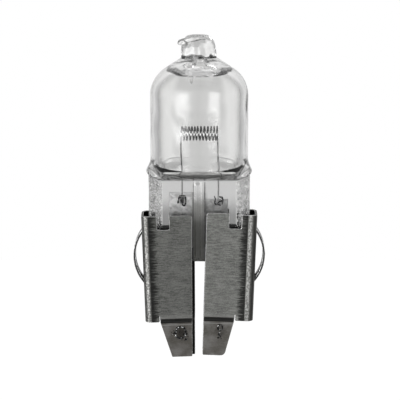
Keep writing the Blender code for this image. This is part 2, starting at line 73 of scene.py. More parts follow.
# %% Clip frames
SHEET = 0.3 * MM
SPRING_BOW = 1.27 * MM
SHRINK = 0.006 * MM  # rounded shapes stay this far inside the CAD box
press_joints = {
    name: next(j for j in frame["joints"] if j["name"] == f"{name}_spring_press") for name in SIDES
}
clip_frames = {}
for name, side in SIDES.items():
    low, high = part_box(f"contact_spring_{name}")
    inward = Vector(press_joints[name]["axis"]).normalized()
    crown_x = low.x if side < 0 else high.x
    middle = Vector((crown_x, 0, (low.z + high.z) / 2)) + inward * SPRING_BOW
    lean = math.asin(inward.z)
    clip_frames[name] = Matrix.Translation(middle) @ Matrix.Rotation(side * lean, 4, "Y")
    print(name, "web at x", round(middle.x / MM, 3), "leaning", round(math.degrees(lean), 2))

# %% [markdown]
# ## The studio
#
# Clear glass has no colour of its own: it shows what is around it. A tube bends the light that
# meets its sides, so a studio that is bright in front and behind, but dimmer left and right, draws
# the dark edges that make glass readable. Two tall soft windows in front lay the two bright streaks
# down the bulb. The camera itself sees plain pale everywhere, and a pale board lies under the bulb.
# The board glows, so that it needs no lamp of its own, and it lights the glass less than it shows.

# %% Helpers for shader nodes
scene = bpy.context.scene
scene.view_settings.view_transform = "Standard"


def placed(name, data):
    """An object in the scene with this data."""
    thing = bpy.data.objects.new(name, data)
    scene.collection.objects.link(thing)
    return thing


def feed(node, inputs):
    """Sets each of the node's inputs to a value, or links it to a socket."""
    for key, value in inputs.items():
        if isinstance(value, bpy.types.NodeSocket):
            node.id_data.links.new(value, node.inputs[key])
        else:
            node.inputs[key].default_value = value


def add(tree, kind, inputs=None, **settings):
    made = tree.nodes.new("ShaderNode" + kind)
    for key, value in settings.items():
        setattr(made, key, value)
    feed(made, inputs or {})
    return made


def maths(operation, a, b=0.0):
    """A sum on sockets or numbers. Like all that follow, it works in the tree of its sockets."""
    tree = next(v.id_data for v in (a, b) if isinstance(v, bpy.types.NodeSocket))
    return add(tree, "Math", {0: a, 1: b}, operation=operation).outputs[0]


def times(product, *factors):
    for factor in factors:
        product = maths("MULTIPLY", product, factor)
    return product


def plus(total, *others):
    for other in others:
        total = maths("ADD", total, other)
    return total


def minus(a, b):
    return maths("SUBTRACT", a, b)


def distance(value, middle=0.0):
    """How far a value is from middle, on either side."""
    return maths("ABSOLUTE", minus(value, middle) if middle else value)


def axes(place):
    return add(place.id_data, "SeparateXYZ", {0: place}).outputs


def ramp(factor, stops):
    """A colour ramp through (position, grey or colour) stops."""
    made = add(factor.id_data, "ValToRGB", {"Fac": factor})
    made.color_ramp.interpolation = "EASE"
    elements = made.color_ramp.elements
    while len(elements) < len(stops):
        elements.new(0.5)
    for element, (position, value) in zip(elements, stops):
        colour = value if isinstance(value, tuple) else (value, value, value)
        element.position = position
        element.color = (*colour, 1)
    return made.outputs["Color"]


def step_up(value, low, high):
    """0 below low, 1 above high, and smooth between them. Low may be over high, to step down."""
    inputs = {"Value": value, "From Min": low, "From Max": high}
    return add(value.id_data, "MapRange", inputs, interpolation_type="SMOOTHSTEP").outputs[0]


# %% The room and its windows
# how bright the room is along a ray: 0 is straight ahead or behind, and 1 is level and sideways
ROOM_STOPS = [
    (0.0, 0.70),
    (0.07, 0.74),
    (0.16, 0.96),
    (0.40, 0.94),
    (0.60, 0.6),
    (0.85, 0.42),
    (0.97, 0.7),
]
CEILING = (0.45, 0.95)  # how steeply up a ray goes where the ceiling starts, and where it is full
CEILING_LOSS = 0.6
WINDOW_FOOT = (-0.205, -0.155)
WINDOW_TOP = (0.62, 0.3)
# azimuth from straight in front, half width and soft edge, all in degrees, and brightness
WINDOWS = [(-45, 5, 22, 5.0), (36, 2, 20, 2.1)]

world = bpy.data.worlds.new("studio")
world.use_nodes = True
scene.world = world
sky = world.node_tree
ray = axes(add(sky, "TexCoord").outputs["Generated"])
room = ramp(distance(ray["X"]), ROOM_STOPS)
loss = times(step_up(ray["Z"], *CEILING), CEILING_LOSS)
room = times(room, minus(1.0, loss))
azimuth = maths("ARCTAN2", ray["X"], times(ray["Y"], -1.0))
tall = times(step_up(ray["Z"], *WINDOW_FOOT), step_up(ray["Z"], *WINDOW_TOP))


def window(centre, half_width, soft, brightness):
    """A tall window with soft sides. Its angles are in degrees."""
    off = distance(azimuth, math.radians(centre))
    shape = step_up(off, math.radians(half_width + soft), math.radians(half_width))
    return times(shape, tall, brightness)


glow = plus(room, *[window(*one) for one in WINDOWS])
seen = add(sky, "LightPath").outputs["Is Camera Ray"]
paper = add(sky, "Mix", {"Factor": seen, "A": glow, "B": 1.0}).outputs["Result"]
feed(sky.nodes["Background"], {"Color": (1, 1, 1, 1), "Strength": paper})

# %% A softbox above
BULB_MIDDLE = Vector((0, 0, 0.022))
SOFTBOX_PLACE = Vector((0.0, 0.05, 0.55))

softbox = bpy.data.lights.new("top_softbox", "AREA")
softbox.shape = "RECTANGLE"
softbox.size = softbox.size_y = 0.45
softbox.energy = 0.5
hung = placed("top_softbox", softbox)
hung.location = SOFTBOX_PLACE
hung.rotation_euler = (BULB_MIDDLE - SOFTBOX_PLACE).to_track_quat("-Z", "Y").to_euler()

# %% Pale board under the bulb
FLOOR_DROP = 40 * MM
BOARD_RADIUS = 210 * MM
BOARD_LIGHTS = 0.5  # how strongly the board glows for everything but the camera
BOARD_SHOWS = 1.0  # and for the camera


def pale_board():
    bm = bmesh.new()
    bmesh.ops.create_circle(bm, cap_ends=True, segments=96, radius=BOARD_RADIUS)
    bmesh.ops.translate(bm, vec=(0, 0, -FLOOR_DROP), verts=bm.verts)
    mesh = bpy.data.meshes.new("pale_board")
    bm.to_mesh(mesh)
    bm.free()
    board = placed("pale_board", mesh)
    made = bpy.data.materials.new("pale_paper")
    made.use_nodes = True
    tree = made.node_tree
    shader = tree.nodes["Principled BSDF"]
    fibre = add(tree, "TexNoise", {"Scale": 900.0, "Detail": 4.0}).outputs["Fac"]
    seen = add(tree, "LightPath").outputs["Is Camera Ray"]
    glow = add(tree, "Mix", {"Factor": seen, "A": BOARD_LIGHTS, "B": BOARD_SHOWS}).outputs["Result"]
    paper = ramp(fibre, [(0.3, 0.98), (0.7, 1.0)])
    feed(shader, {"Base Color": (0.02, 0.02, 0.02, 1), "Roughness": 0.9})
    feed(shader, {"Emission Color": paper, "Emission Strength": glow})
    mesh.materials.append(made)


pale_board()

# %% Camera
CAMERA_DISTANCE = 205 * MM
CAMERA_TILT = math.radians(12.5)
FOCAL_LENGTH = 138.6  # in mm, as is the sensor's width
SENSOR_WIDTH = 36
AIM = Vector((0.107 * MM, 0, 21.82 * MM))

camera = bpy.data.cameras.new("camera")
camera.lens = FOCAL_LENGTH
camera.sensor_width = SENSOR_WIDTH
camera.clip_start = 1 * MM
viewer = placed("camera", camera)
back = Vector((0, -math.cos(CAMERA_TILT), math.sin(CAMERA_TILT)))
viewer.location = AIM + back * CAMERA_DISTANCE
viewer.rotation_euler = (-back).to_track_quat("-Z", "Y").to_euler()
scene.camera = viewer
print("camera at, mm:", [round(v / MM, 1) for v in viewer.location])

# %% [markdown]
# ## Finishes
#
# Each finish is a Principled shader fed by noise in millimetres, so that its grain has a real size.
# Everything that is the same all over a surface, such as the glass's refraction, is set on the
# shader itself.

# %% Helpers for finishes


def finish(name, roughness, metallic=0.0):
    made = bpy.data.materials.new(name)
    made.use_nodes = True
    shader = made.node_tree.nodes["Principled BSDF"]
    feed(shader, {"Roughness": roughness, "Metallic": metallic})
    return made, made.node_tree, shader


def millimetres(tree, stretch=(1, 1, 1), origin=None):
    """Object coordinates in mm, scaled by stretch, in the axes of the matrix origin if given."""
    place = add(tree, "TexCoord").outputs["Object"]
    if origin is not None:
        turn = {"Location": origin.to_translation(), "Rotation": origin.to_euler()}
        place = add(tree, "Mapping", {"Vector": place, **turn}, vector_type="TEXTURE").outputs[0]
    return add(tree, "Mapping", {"Vector": place, "Scale": [s / MM for s in stretch]}).outputs[0]


def grain(place, scale, detail=2.0, distortion=0.0):
    inputs = {"Vector": place, "Scale": scale, "Detail": detail, "Distortion": distortion}
    return add(place.id_data, "TexNoise", inputs).outputs["Fac"]


def mixed(factor, a, b):
    a = a if isinstance(a, bpy.types.NodeSocket) else (*a, 1)
    b = b if isinstance(b, bpy.types.NodeSocket) else (*b, 1)
    inputs = {"Factor": factor, "A": a, "B": b}
    return add(factor.id_data, "Mix", inputs, data_type="RGBA").outputs["Result"]


def bumped(shader, height, depth, under=None):
    """A bump on the shader, depth in metres, laid over the bump under if given."""
    inputs = {"Height": height, "Distance": depth, "Strength": 1.0}
    if under is not None:
        inputs["Normal"] = under
    made = add(shader.id_data, "Bump", inputs).outputs[0]
    feed(shader, {"Normal": made})
    return made


def scaled(colour, share):
    return tuple(share * c for c in colour)


def worn_metal(name, stretch, tone, colours, roughnesses, dents, depth):
    """A metal whose colour and roughness follow one noise, tone, with dents depth mm deep."""
    made, tree, shader = finish(name, 0.35, 1.0)
    shade = grain(millimetres(tree, stretch), *tone)
    feed(shader, {"Base Color": ramp(shade, colours), "Roughness": ramp(shade, roughnesses)})
    bumped(shader, grain(millimetres(tree), *dents), depth * MM)
    return made


# %% [markdown]
# ## Quartz
#
# The quartz is clear, but no two parts of it look alike. The bulb is drawn clean and only swims slightly;
# painted shade greys its edges and a belt low on its front. The seal keeps the print of the jaws that
# pressed it: pitted rims and veins, with painted shade on its faces low down, along its rib and in its
# middle. Where the flame worked longest, at the stub, it is hazy, and the seam at the gas space's floor is
# dark quartz standing in for painted shade. In these patterns a length is in mm, from the bulb's axis or up
# from the tabs' feet.

# %% Quartz, blown and pressed
QUARTZ_IOR = 1.458
# painted shade: the quartz is drawn greyer where it is seen edge-on
EDGE_ON = (0.46, 0.74)  # the facing ratios where the wall starts to grey, and where it is greyest
EDGE_SHADE = 0.62
BELT_TOP = (27.1, 26.8)
BELT_FOOT = (25.3, 25.9)
BELT_SAG = 0.045  # how fast the belt's top drops away from its middle
BELT_HALF_WIDTH = (5.3, 4.2)
BELT_FRONT = (-1.0, -2.0)
RIM_START = (4.9, 5.3)
PIT_DEPTH = 0.09 * MM
LOW_SHADE_FALL = (23.2, 20.2)
SHADE_FALL = (25.4, 17.6)
SHADE_HALF_WIDTH = (1.25, 0.75)
RIB_FLANK = 0.74
FLANK_HALF_WIDTH = (0.22, 0.10)
FLANK_TOP = (24.6, 24.0)


def painted_shade_belt(tree, place, clear):
    """A streaked belt of painted shade low on the front of the bulb."""
    xyz = axes(place)
    streaks = grain(millimetres(tree, (0.3, 1, 1)), 4.0, 3.0)
    belt = times(
        step_up(plus(xyz["Z"], times(xyz["X"], xyz["X"], BELT_SAG)), *BELT_TOP),
        step_up(xyz["Z"], *BELT_FOOT),
        step_up(distance(xyz["X"]), *BELT_HALF_WIDTH),
        step_up(xyz["Y"], *BELT_FRONT),
        ramp(streaks, [(0.35, 1.0), (0.65, 0.55)]),
    )
    return mixed(belt, clear, (0.35, 0.35, 0.342))


def seal_colour(tree, place, edge, on_rim, tint):
    """The pressed seal: veined rims, with painted shade on its faces low down and in its middle."""
    height = axes(place)["Z"]
    uneven = plus(height, times(grain(place, 1.1, 3.0), 1.2))
    # painted shade: the faces darken lower down, between the clips
    low_shade = times(step_up(uneven, *LOW_SHADE_FALL), step_up(edge, 5.2, 4.8))
    faces = mixed(low_shade, tint, scaled(tint, 0.45))
    veins = step_up(grain(millimetres(tree, (1, 1, 0.45)), 3.4, 3.0, 1.5), 0.36, 0.52)
    rims = mixed(veins, scaled(tint, 0.52), scaled(tint, 1.08))
    colour = mixed(on_rim, faces, rims)
    # the middle darkens downwards, where the foils' edges and the leads shade it
    shades = [(0.0, tint), (0.5, (0.24, 0.24, 0.23)), (1.0, (0.055, 0.055, 0.05))]
    dark = ramp(step_up(uneven, *SHADE_FALL), shades)
    colour = mixed(step_up(edge, *SHADE_HALF_WIDTH), colour, dark)
    # painted shade: a ragged dark line runs down each side of the rib
    flank = plus(distance(edge, RIB_FLANK), times(grain(place, 4.0, 2.0), 0.16))
    line = times(step_up(flank, *FLANK_HALF_WIDTH), step_up(height, *FLANK_TOP), 0.8)
    return mixed(line, colour, (0.05, 0.05, 0.05))


def quartz(name, tint, wave, wave_size, haze):
    """Clear quartz. Its surface swims by wave over wave_size, both in mm."""
    made, tree, shader = finish(name, haze)
    feed(shader, {"Base Color": (*tint, 1), "Transmission Weight": 1.0, "IOR": QUARTZ_IOR})
    place = millimetres(tree)
    surface = bumped(shader, grain(place, 1 / wave_size), wave * MM)
    # painted edge shade: the wall's colour greys where the view grazes it
    facing = add(tree, "LayerWeight", {"Blend": 0.5}).outputs["Facing"]
    colour = mixed(step_up(facing, *EDGE_ON), tint, scaled(tint, EDGE_SHADE))
    if name == "blown_quartz":
        colour = painted_shade_belt(tree, place, colour)
    elif name == "pressed_quartz":
        edge = distance(axes(place)["X"])
        on_rim = step_up(edge, *RIM_START)
        colour = seal_colour(tree, place, edge, on_rim, tint)
        pits = times(step_up(grain(place, 2.6, 3.0, 1.2), 0.42, 0.60), on_rim)
        bumped(shader, pits, PIT_DEPTH, under=surface)
    feed(shader, {"Base Color": colour})
    return made


blown_quartz = quartz("blown_quartz", (0.90, 0.90, 0.895), 0.004, 2.5, 0.0)
pressed_quartz = quartz("pressed_quartz", (0.80, 0.80, 0.795), 0.02, 0.9, 0.02)
flamed_quartz = quartz("flamed_quartz", (0.89, 0.89, 0.885), 0.012, 0.7, 0.16)
# painted shade: the seam at the gas space's floor is drawn in dark quartz
seam_shade_quartz = quartz("seam_shade_quartz", (0.24, 0.24, 0.235), 0.06, 0.35, 0.12)

# %% [markdown]
# ## The quartz capsule
#
# The real capsule is a quartz tube, softened and pressed flat over the foils at its lower end. Its
# upper end is drawn in and sealed by a stub that folds over as it is nipped off. One lofted skin
# makes the outside: each ring is a superellipse, nearly a circle at the bulb and nearly a rectangle
# at the seal. A second, inside-out skin is the gas space, so light bends at every real surface.

# %% Rings of the outer skin
glass_low, glass_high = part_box("quartz_envelope")
BULB_RADIUS = glass_high.y - 0.02 * MM
PINCH_HALF_WIDTH = 6.72 * MM
PINCH_HALF_DEPTH = 1.4 * MM
FOOT_ROUND = 0.5 * MM
FACE_START = 0.7 * MM  # above the seal's foot
FACE_END = 0.55 * MM  # below the shoulder's foot
FACE_STEP = 0.2 * MM
SHOULDER_FOOT = 25.0 * MM
SHOULDER_TOP = 27.6 * MM
SHOULDER_FILLET = 0.5 * MM
SHOULDER_FLARE = 0.42 * MM
SHOULDER_LIFT = 1.3 * MM  # how far the shoulders sweep up at the capsule's sides
NECK_RADIUS = 2.3 * MM
DOME_START = 35.9 * MM
DOME_RADIUS = 4.2 * MM
DOME_SLOPE = math.radians(33)
RING_POINTS = 240
ROUND = 2.0  # superellipse exponent of an ellipse
SQUARE = 11.0  # and that of the pressed seal


def quarter(half_width, half_depth, power):
    """Evenly spaced points of a quarter superellipse, from its side to its front."""
    angles = np.linspace(0, math.pi / 2, 600)
    x = half_width * np.abs(np.cos(angles)) ** (2 / power)
    y = half_depth * np.abs(np.sin(angles)) ** (2 / power)
    x[-1] = 0
    walked = np.concatenate([[0], np.cumsum(np.hypot(np.diff(x), np.diff(y)))])
    even = np.linspace(0, walked[-1], RING_POINTS // 4 + 1)
    return np.interp(even, walked, x), np.interp(even, walked, y)


def ring(half_width, half_depth, height, power=ROUND, lift=0.0):
    """A closed ring. Its sides rise by lift, as where the seal's shoulders sweep up."""
    x, y = quarter(half_width, half_depth, power)
    xs = np.concatenate([x[:-1], -x[:0:-1], -x[:-1], x[:0:-1]])
    ys = np.concatenate([y[:-1], y[:0:-1], -y[:-1], -y[:0:-1]])
    rise = lift * np.clip((np.abs(xs) / half_width - 0.72) / 0.28, 0, 1) ** 1.3
    return [Vector((a, b, height + c)) for a, b, c in zip(xs, ys, rise)]


def quarter_turn(steps):
    """Angles from 0 to a right angle in even steps."""
    return [math.pi / 2 * step / steps for step in range(steps + 1)]


def seal_rings():
    rings = []
    for angle in quarter_turn(5):
        inset = FOOT_ROUND * (1 - math.sin(angle))
        height = glass_low.z + FOOT_ROUND * (1 - math.cos(angle))
        rings.append(ring(PINCH_HALF_WIDTH - inset, PINCH_HALF_DEPTH - 0.7 * inset, height, SQUARE))
    heights = np.arange(glass_low.z + FACE_START, SHOULDER_FOOT - FACE_END, FACE_STEP)
    return rings + [ring(PINCH_HALF_WIDTH, PINCH_HALF_DEPTH, z, SQUARE) for z in heights]


def shoulder_rings():
    """From the flat seal through a fillet and out to the round bulb."""
    profile = []
    for angle in quarter_turn(6):
        depth = PINCH_HALF_DEPTH + SHOULDER_FILLET * (1 - math.cos(angle))
        profile.append((depth, SHOULDER_FOOT - SHOULDER_FILLET * (1 - math.sin(angle))))
    for angle in quarter_turn(25)[1:-1]:
        depth = PINCH_HALF_DEPTH + SHOULDER_FILLET
        depth += (BULB_RADIUS - depth) * math.sin(angle)
        profile.append((depth, SHOULDER_TOP - (SHOULDER_TOP - SHOULDER_FOOT) * math.cos(angle)))
    rings = []
    for depth, height in profile:
        flat = (BULB_RADIUS - depth) / (BULB_RADIUS - PINCH_HALF_DEPTH)
        flare = SHOULDER_FLARE * math.sin(math.pi * flat**0.7)
        width = BULB_RADIUS + (PINCH_HALF_WIDTH - BULB_RADIUS) * flat + flare
        power = ROUND + (SQUARE - ROUND) * flat**2.2
        rings.append(ring(width, depth, height, power, SHOULDER_LIFT * flat))
    return rings


def dome_rings():
    heights = np.linspace(SHOULDER_TOP, DOME_START, 17)[:-1]
    rings = [ring(BULB_RADIUS, BULB_RADIUS, z) for z in heights]
    sweep = math.pi / 2 - DOME_SLOPE
    for step in range(19):
        angle = sweep * step / 18
        radius = BULB_RADIUS - DOME_RADIUS * (1 - math.cos(angle))
        rings.append(ring(radius, radius, DOME_START + DOME_RADIUS * math.sin(angle)))
    top_radius, top_height = radius, rings[-1][0].z
    for step in range(1, 9):
        share = step / 8
        radius = top_radius + (NECK_RADIUS - top_radius) * share
        height = top_height + (glass_high.z - top_height) * share
        rings.append(ring(radius, radius, height))
    return rings


# %% The hand of the flame: slow waves, pressed rims and a rib
FACE_DEPTH = 0.6 * MM  # points nearer the middle than this are on the seal's sides
PRESS_RAISE = 0.2 * MM
RIM_SHARE = 0.8  # of the rib's height
RIM_INNER, RIM_OUTER = (4.9, 5.45), (6.4, 6.72)  # these are in mm
RIB_MIDDLE, RIB_SIDE = -0.2, (0.2, 0.5)
RIB_FOOT, PRESS_TOP = (13.7, 14.1), (24.1, 24.6)


def ease(value, low, high):
    share = min(1.0, max(0.0, (value - low) / (high - low)))
    return share * share * (3 - 2 * share)


def pressed(point):
    """The point of the seal's face with the jaw's raised rims and middle rib."""
    if point.z > SHOULDER_FOOT or abs(point.y) < FACE_DEPTH:
        return point
    x, z = abs(point.x) / MM, point.z / MM
    raised = RIM_SHARE * ease(x, *RIM_INNER) * (1 - ease(x, *RIM_OUTER))
    rib = 1 - ease(abs(point.x / MM - RIB_MIDDLE), *RIB_SIDE)
    raised += rib * ease(z, *RIB_FOOT)
    point.y += math.copysign(PRESS_RAISE * raised * (1 - ease(z, *PRESS_TOP)), point.y)
    return point


def wavy(point, size, reach, seed):
    """The point moved in or out by slow noise, size mm across and less than reach."""
    outward = Vector((point.x, point.y, 0))
    if outward.length < 1e-6:
        return point
    swing = noise.noise(point / (size * MM) + Vector((seed, seed, seed)))
    return point + outward.normalized() * (swing - 0.5) * reach


def skin(bm, rows):
    """Quads from each closed row of points to the next."""
    count = len(rows[0])
    for lower, upper in zip(rows, rows[1:]):
        for i in range(count):
            j = (i + 1) % count
            bm.faces.new((lower[i], lower[j], upper[j], upper[i]))


def loft(rings, inside_out=False):
    """A bmesh through the rings, closed by a fan at each end."""
    bm = bmesh.new()
    rows = [[bm.verts.new(point) for point in one] for one in rings]
    count = len(rows[0])
    skin(bm, rows)
    for row, first in ((rows[0], True), (rows[-1], False)):
        centre = sum((Vector(v.co) for v in row), Vector()) / count
        middle = bm.verts.new(centre)
        for i in range(count):
            j = (i + 1) % count
            pair = (row[j], row[i]) if first else (row[i], row[j])
            bm.faces.new((*pair, middle))
    bmesh.ops.recalc_face_normals(bm, faces=bm.faces)
    if inside_out:
        bmesh.ops.reverse_faces(bm, faces=bm.faces)
    return bm


def merged(parts):
    """One bmesh with the faces of all the parts, which it frees."""
    whole = bmesh.new()
    for part in parts:
        mesh = bpy.data.meshes.new("part")
        part.to_mesh(mesh)
        part.free()
        whole.from_mesh(mesh)
        bpy.data.meshes.remove(mesh)
    return whole


def piece(name, bm, materials, sharp=None):
    """A mesh object from a bmesh, shaded smooth but for edges over sharp degrees."""
    mesh = bpy.data.meshes.new(name)
    bm.to_mesh(mesh)
    bm.free()
    thing = placed(name, mesh)
    for made in materials:
        mesh.materials.append(made)
    mesh.shade_smooth()
    if sharp:
        mesh.set_sharp_from_angle(angle=math.radians(sharp))
    return thing


def outer_skin():
    rings = seal_rings() + shoulder_rings() + dome_rings()
    return [[wavy(pressed(point), 2.2, 0.035 * MM, 1.0) for point in one] for one in rings]


# %% [markdown]
# ## The nipped-off stub
#
# When the exhaust tube is sealed, the flame pinches it off and the soft end folds over. It leaves a
# squarish stub and a thick rolled lip that hangs to one side. The stub is a loft, the lip a tapering
# roll, and a boolean union fuses them to the dome: the creases that it leaves are the ones that real
# fused glass has.

# %% Stub and lip
stub_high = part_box("exhaust_tip")[1]
STUB_HALF_WIDTH = 2.42 * MM
STUB_HALF_DEPTH = 1.85 * MM
STUB_MIDDLE = Vector((-0.09 * MM, 0, 0))
STUB_SINK = 0.5 * MM  # how far its foot is sunk into the dome
STUB_GAP = 0.12 * MM  # below the top of the CAD node
STUB_SWEEP = 0.96 * math.pi / 2
STUB_POWER = 2.5
LIP_RADIUS = 0.36 * MM
LIP_POINTS = 34
# the lip's route from its free end, in mm from the middle of the stub's top
LIP_ROUTE = [
    (-2.74, -0.90, -1.18), (-2.25, -1.05, -0.92), (-1.25, -1.38, -0.60),
    (-0.16, -1.40, -0.42), (0.75, -1.10, -0.42), (1.35, -0.70, -0.62),
]


def stub_rings():
    foot = glass_high.z - STUB_SINK
    top = stub_high.z - STUB_GAP
    rings = []
    for step in range(22):
        angle = STUB_SWEEP * step / 21
        height = foot + (top - foot) * math.sin(angle)
        half_width = STUB_HALF_WIDTH * math.cos(angle) ** 0.38
        half_depth = STUB_HALF_DEPTH * math.cos(angle) ** 0.4
        one = ring(half_width, half_depth, height, STUB_POWER)
        rings.append([wavy(p + STUB_MIDDLE, 0.9, 0.18 * MM, 3.0) for p in one])
    return rings


def roll(points, radii, sides=28):
    """A bmesh roll of round section through points, its ends rounded off by their small radii."""
    rings = []
    for i, (point, radius) in enumerate(zip(points, radii)):
        along = (points[min(i + 1, len(points) - 1)] - points[max(i - 1, 0)]).normalized()
        side = along.cross(Vector((0, 1, 0))).normalized()
        other = along.cross(side)
        turn = [2 * math.pi * s / sides for s in range(sides)]
        rings.append([point + (side * math.cos(t) + other * math.sin(t)) * radius for t in turn])
    return loft(rings)


def between(a, b, c, d, t):
    """The point at share t from b to c of the Catmull-Rom curve through all four."""
    square = (2 * a - 5 * b + 4 * c - d) * t**2
    cube = (3 * b - a - 3 * c + d) * t**3
    return 0.5 * (2 * b + (c - a) * t + square + cube)


def smooth_path(points, count):
    """Points evenly along a Catmull-Rom curve through the given ones."""
    points = [2 * points[0] - points[1], *points, 2 * points[-1] - points[-2]]
    fine = []
    for four in zip(points, points[1:], points[2:], points[3:]):
        fine += [between(*four, step / 24) for step in range(24)]
    fine.append(points[-2])
    walked = np.concatenate([[0], np.cumsum([(q - p).length for p, q in zip(fine, fine[1:])])])
    even = np.linspace(0, walked[-1], count)
    coords = np.array([list(p) for p in fine])
    return [Vector([np.interp(e, walked, coords[:, k]) for k in range(3)]) for e in even]


def lip_roll():
    top = Vector((0, 0, stub_high.z))
    path = smooth_path([top + Vector(p) * MM for p in LIP_ROUTE], LIP_POINTS)
    radii = []
    for i, point in enumerate(path):
        share = i / (len(path) - 1)
        rounded = min(1.0, math.sin(math.pi * min(1.0, share * 9 + 0.06) / 2) ** 0.5)
        drawn_out = min(1.0, math.cos(math.pi / 2 * max(0.0, share * 1.5 - 0.5)) ** 0.5 + 0.05)
        uneven = 1 + 0.12 * noise.noise(point / (0.7 * MM))
        radii.append(LIP_RADIUS * (rounded * drawn_out) * uneven)
    return roll(path, radii)


# %% The gas space
WALL = 1.1 * MM
CAVITY_RADIUS = BULB_RADIUS - WALL
CAVITY_FLOOR = 25.35 * MM
CAVITY_FLOOR_HALF = 0.9 * MM
CAVITY_BEND = 26.9 * MM
CROWN_RADIUS = 3.8 * MM
CROWN_HEIGHT = glass_high.z - 2.35 * MM
CROWN_STEPS = 19
# the quartz ran down inside the crown: each drip's x and y, length and its widths, in mm
DRIPS = [(-1.0, -0.5, 1.45, 0.16, 0.16), (1.0, -1.3, 0.35, 0.25, 0.06)]


def cavity_rings():
    rings = []
    for angle in quarter_turn(29):
        depth = CAVITY_FLOOR_HALF + (CAVITY_RADIUS - CAVITY_FLOOR_HALF) * math.sin(angle)
        height = CAVITY_BEND - (CAVITY_BEND - CAVITY_FLOOR) * math.cos(angle)
        power = ROUND + 4 * math.cos(angle)
        rings.append(ring(CAVITY_RADIUS - 0.3 * MM * math.cos(angle), depth, height, power))
    for height in np.linspace(CAVITY_BEND, DOME_START, 17)[1:]:
        rings.append(ring(CAVITY_RADIUS, CAVITY_RADIUS, height))
    bend = math.acos(CROWN_RADIUS / CAVITY_RADIUS)
    rise = (CROWN_HEIGHT - DOME_START) / math.sin(bend)
    for step in range(1, 17):
        angle = bend * step / 16
        radius = CAVITY_RADIUS * math.cos(angle)
        rings.append(ring(radius, radius, DOME_START + rise * math.sin(angle)))
    for step in range(1, CROWN_STEPS + 1):
        share = step / CROWN_STEPS
        radius = CROWN_RADIUS * (1 - share) + 0.12 * MM * share
        hollow = 0.6 * share + 0.5 * ease(share, 0.72, 0.95)
        rings.append(ring(radius, radius, CROWN_HEIGHT + hollow * MM))
    rings = [[wavy(point, 3.0, 0.05 * MM, 9.0) for point in one] for one in rings]
    for point in (point for one in rings[-CROWN_STEPS:] for point in one):
        point.z += 0.09 * MM * noise.noise(point / (0.9 * MM))
        x, y = point.x / MM, point.y / MM
        for drip_x, drip_y, length, wide, deep in DRIPS:
            fade = (x - drip_x) ** 2 / wide + (y - drip_y) ** 2 / deep
            point.z -= length * MM * math.exp(-fade)
    return rings


# %% Fuse the outside and add the gas space
BLOWN, PRESSED, FLAMED, SEAM = range(4)  # places in the capsule's list of materials
SEAM_HEIGHT = 0.32 * MM
FLAMED_DROP = 0.35 * MM


def fused(base, others):
    """Base with the others united to it, its modifiers applied."""
    for other in others:
        modifier = base.modifiers.new(other.name, "BOOLEAN")
        modifier.operation = "UNION"
        modifier.solver = "EXACT"
        modifier.object = other
    graph = bpy.context.evaluated_depsgraph_get()
    mesh = bpy.data.meshes.new_from_object(base.evaluated_get(graph))
    base.modifiers.clear()
    base.data = mesh
    for other in others:
        bpy.data.objects.remove(other)


def finish_index(height, within):
    """Which quartz a face is made of, from its height and from which skin it is on."""
    if height < SHOULDER_FOOT:
        return PRESSED
    if within and height < CAVITY_FLOOR + SEAM_HEIGHT:
        return SEAM
    if height > (CROWN_HEIGHT if within else glass_high.z - FLAMED_DROP):
        return FLAMED
    return BLOWN


quartzes = [blown_quartz, pressed_quartz, flamed_quartz, seam_shade_quartz]
capsule = piece("quartz_capsule", loft(outer_skin()), quartzes)
stub = piece("stub", loft(stub_rings()), [blown_quartz])
lip = piece("lip", lip_roll(), [blown_quartz])
fused(capsule, [stub, lip])
outside = bmesh.new()
outside.from_mesh(capsule.data)
outer_count = len(outside.faces)
whole = merged([outside, loft(cavity_rings(), inside_out=True)])
whole.faces.index_update()
for face in whole.faces:
    face.smooth = True
    face.material_index = finish_index(face.calc_center_median().z, face.index >= outer_count)
whole.to_mesh(capsule.data)
whole.free()
capsule.data.set_sharp_from_angle(angle=math.radians(38))
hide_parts("quartz_envelope", "exhaust_tip")
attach(capsule, "lamp")
print("capsule", len(capsule.data.vertices), "points")

# %% [markdown]
# ## The filament
#
# One tungsten wire rises from the left foil, winds round in a coil and goes down to the right foil.
# A curve with a round bevel draws it: a helix needs only its formula, and a little wander keeps the
# turns from looking printed. Its own fine winding is a bump along the wire.

# %% Tungsten and the coil
coil_low, coil_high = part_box("filament")
WIRE = 0.22 * MM
COIL_RADIUS = 0.915 * MM
COIL_TURNS = 11.5
COIL_LENGTH = 4.9 * MM
COIL_CENTRE = Vector((0.06 * MM, 0, coil_high.z - COIL_RADIUS - WIRE / 2))
TURN_STEPS = 28
LEG_SEAL_X = {"left": -2.28 * MM, "right": 2.55 * MM}
LEG_Y = -0.16 * MM
LEG_POINTS = 40
CAVITY_ENTRY = CAVITY_FLOOR + 0.5 * MM
LEG_START = (1.05, 1.2)  # how far from the coil's axis the legs' finish begins, in mm
SEALED = (25.6, 25.3)  # where the seal closes on the legs


def tungsten_finish():
    made, tree, shader = finish("tungsten", 0.28, 1.0)
    place = millimetres(tree)
    tone = grain(place, 2.5, 3.0)
    xyz = axes(place)
    # use has darkened the coil all but its left end; a painted highlight brightens each turn at the coil's
    # middle height, where it faces front and back
    aged = step_up(plus(xyz["X"], tone), -1.6, -0.4)
    turns = mixed(aged, (0.30, 0.30, 0.31), ramp(tone, [(0.3, 0.02), (0.7, 0.09)]))
    off_axis = distance(xyz["Z"], COIL_CENTRE.z / MM)
    turns = mixed(step_up(off_axis, 0.30, 0.06), turns, (0.92, 0.92, 0.92))
    # the legs stay brighter, most of all inside the seal, where no gas reaches them
    legs = ramp(tone, [(0.3, 0.10), (0.7, 0.34)])
    legs = mixed(step_up(xyz["Z"], *SEALED), legs, (0.42, 0.42, 0.42))
    colour = mixed(step_up(off_axis, *LEG_START), turns, legs)
    feed(shader, {"Base Color": colour})
    bumped(shader, grain(place, 14.0, 1.0), 0.02 * MM)
    return made


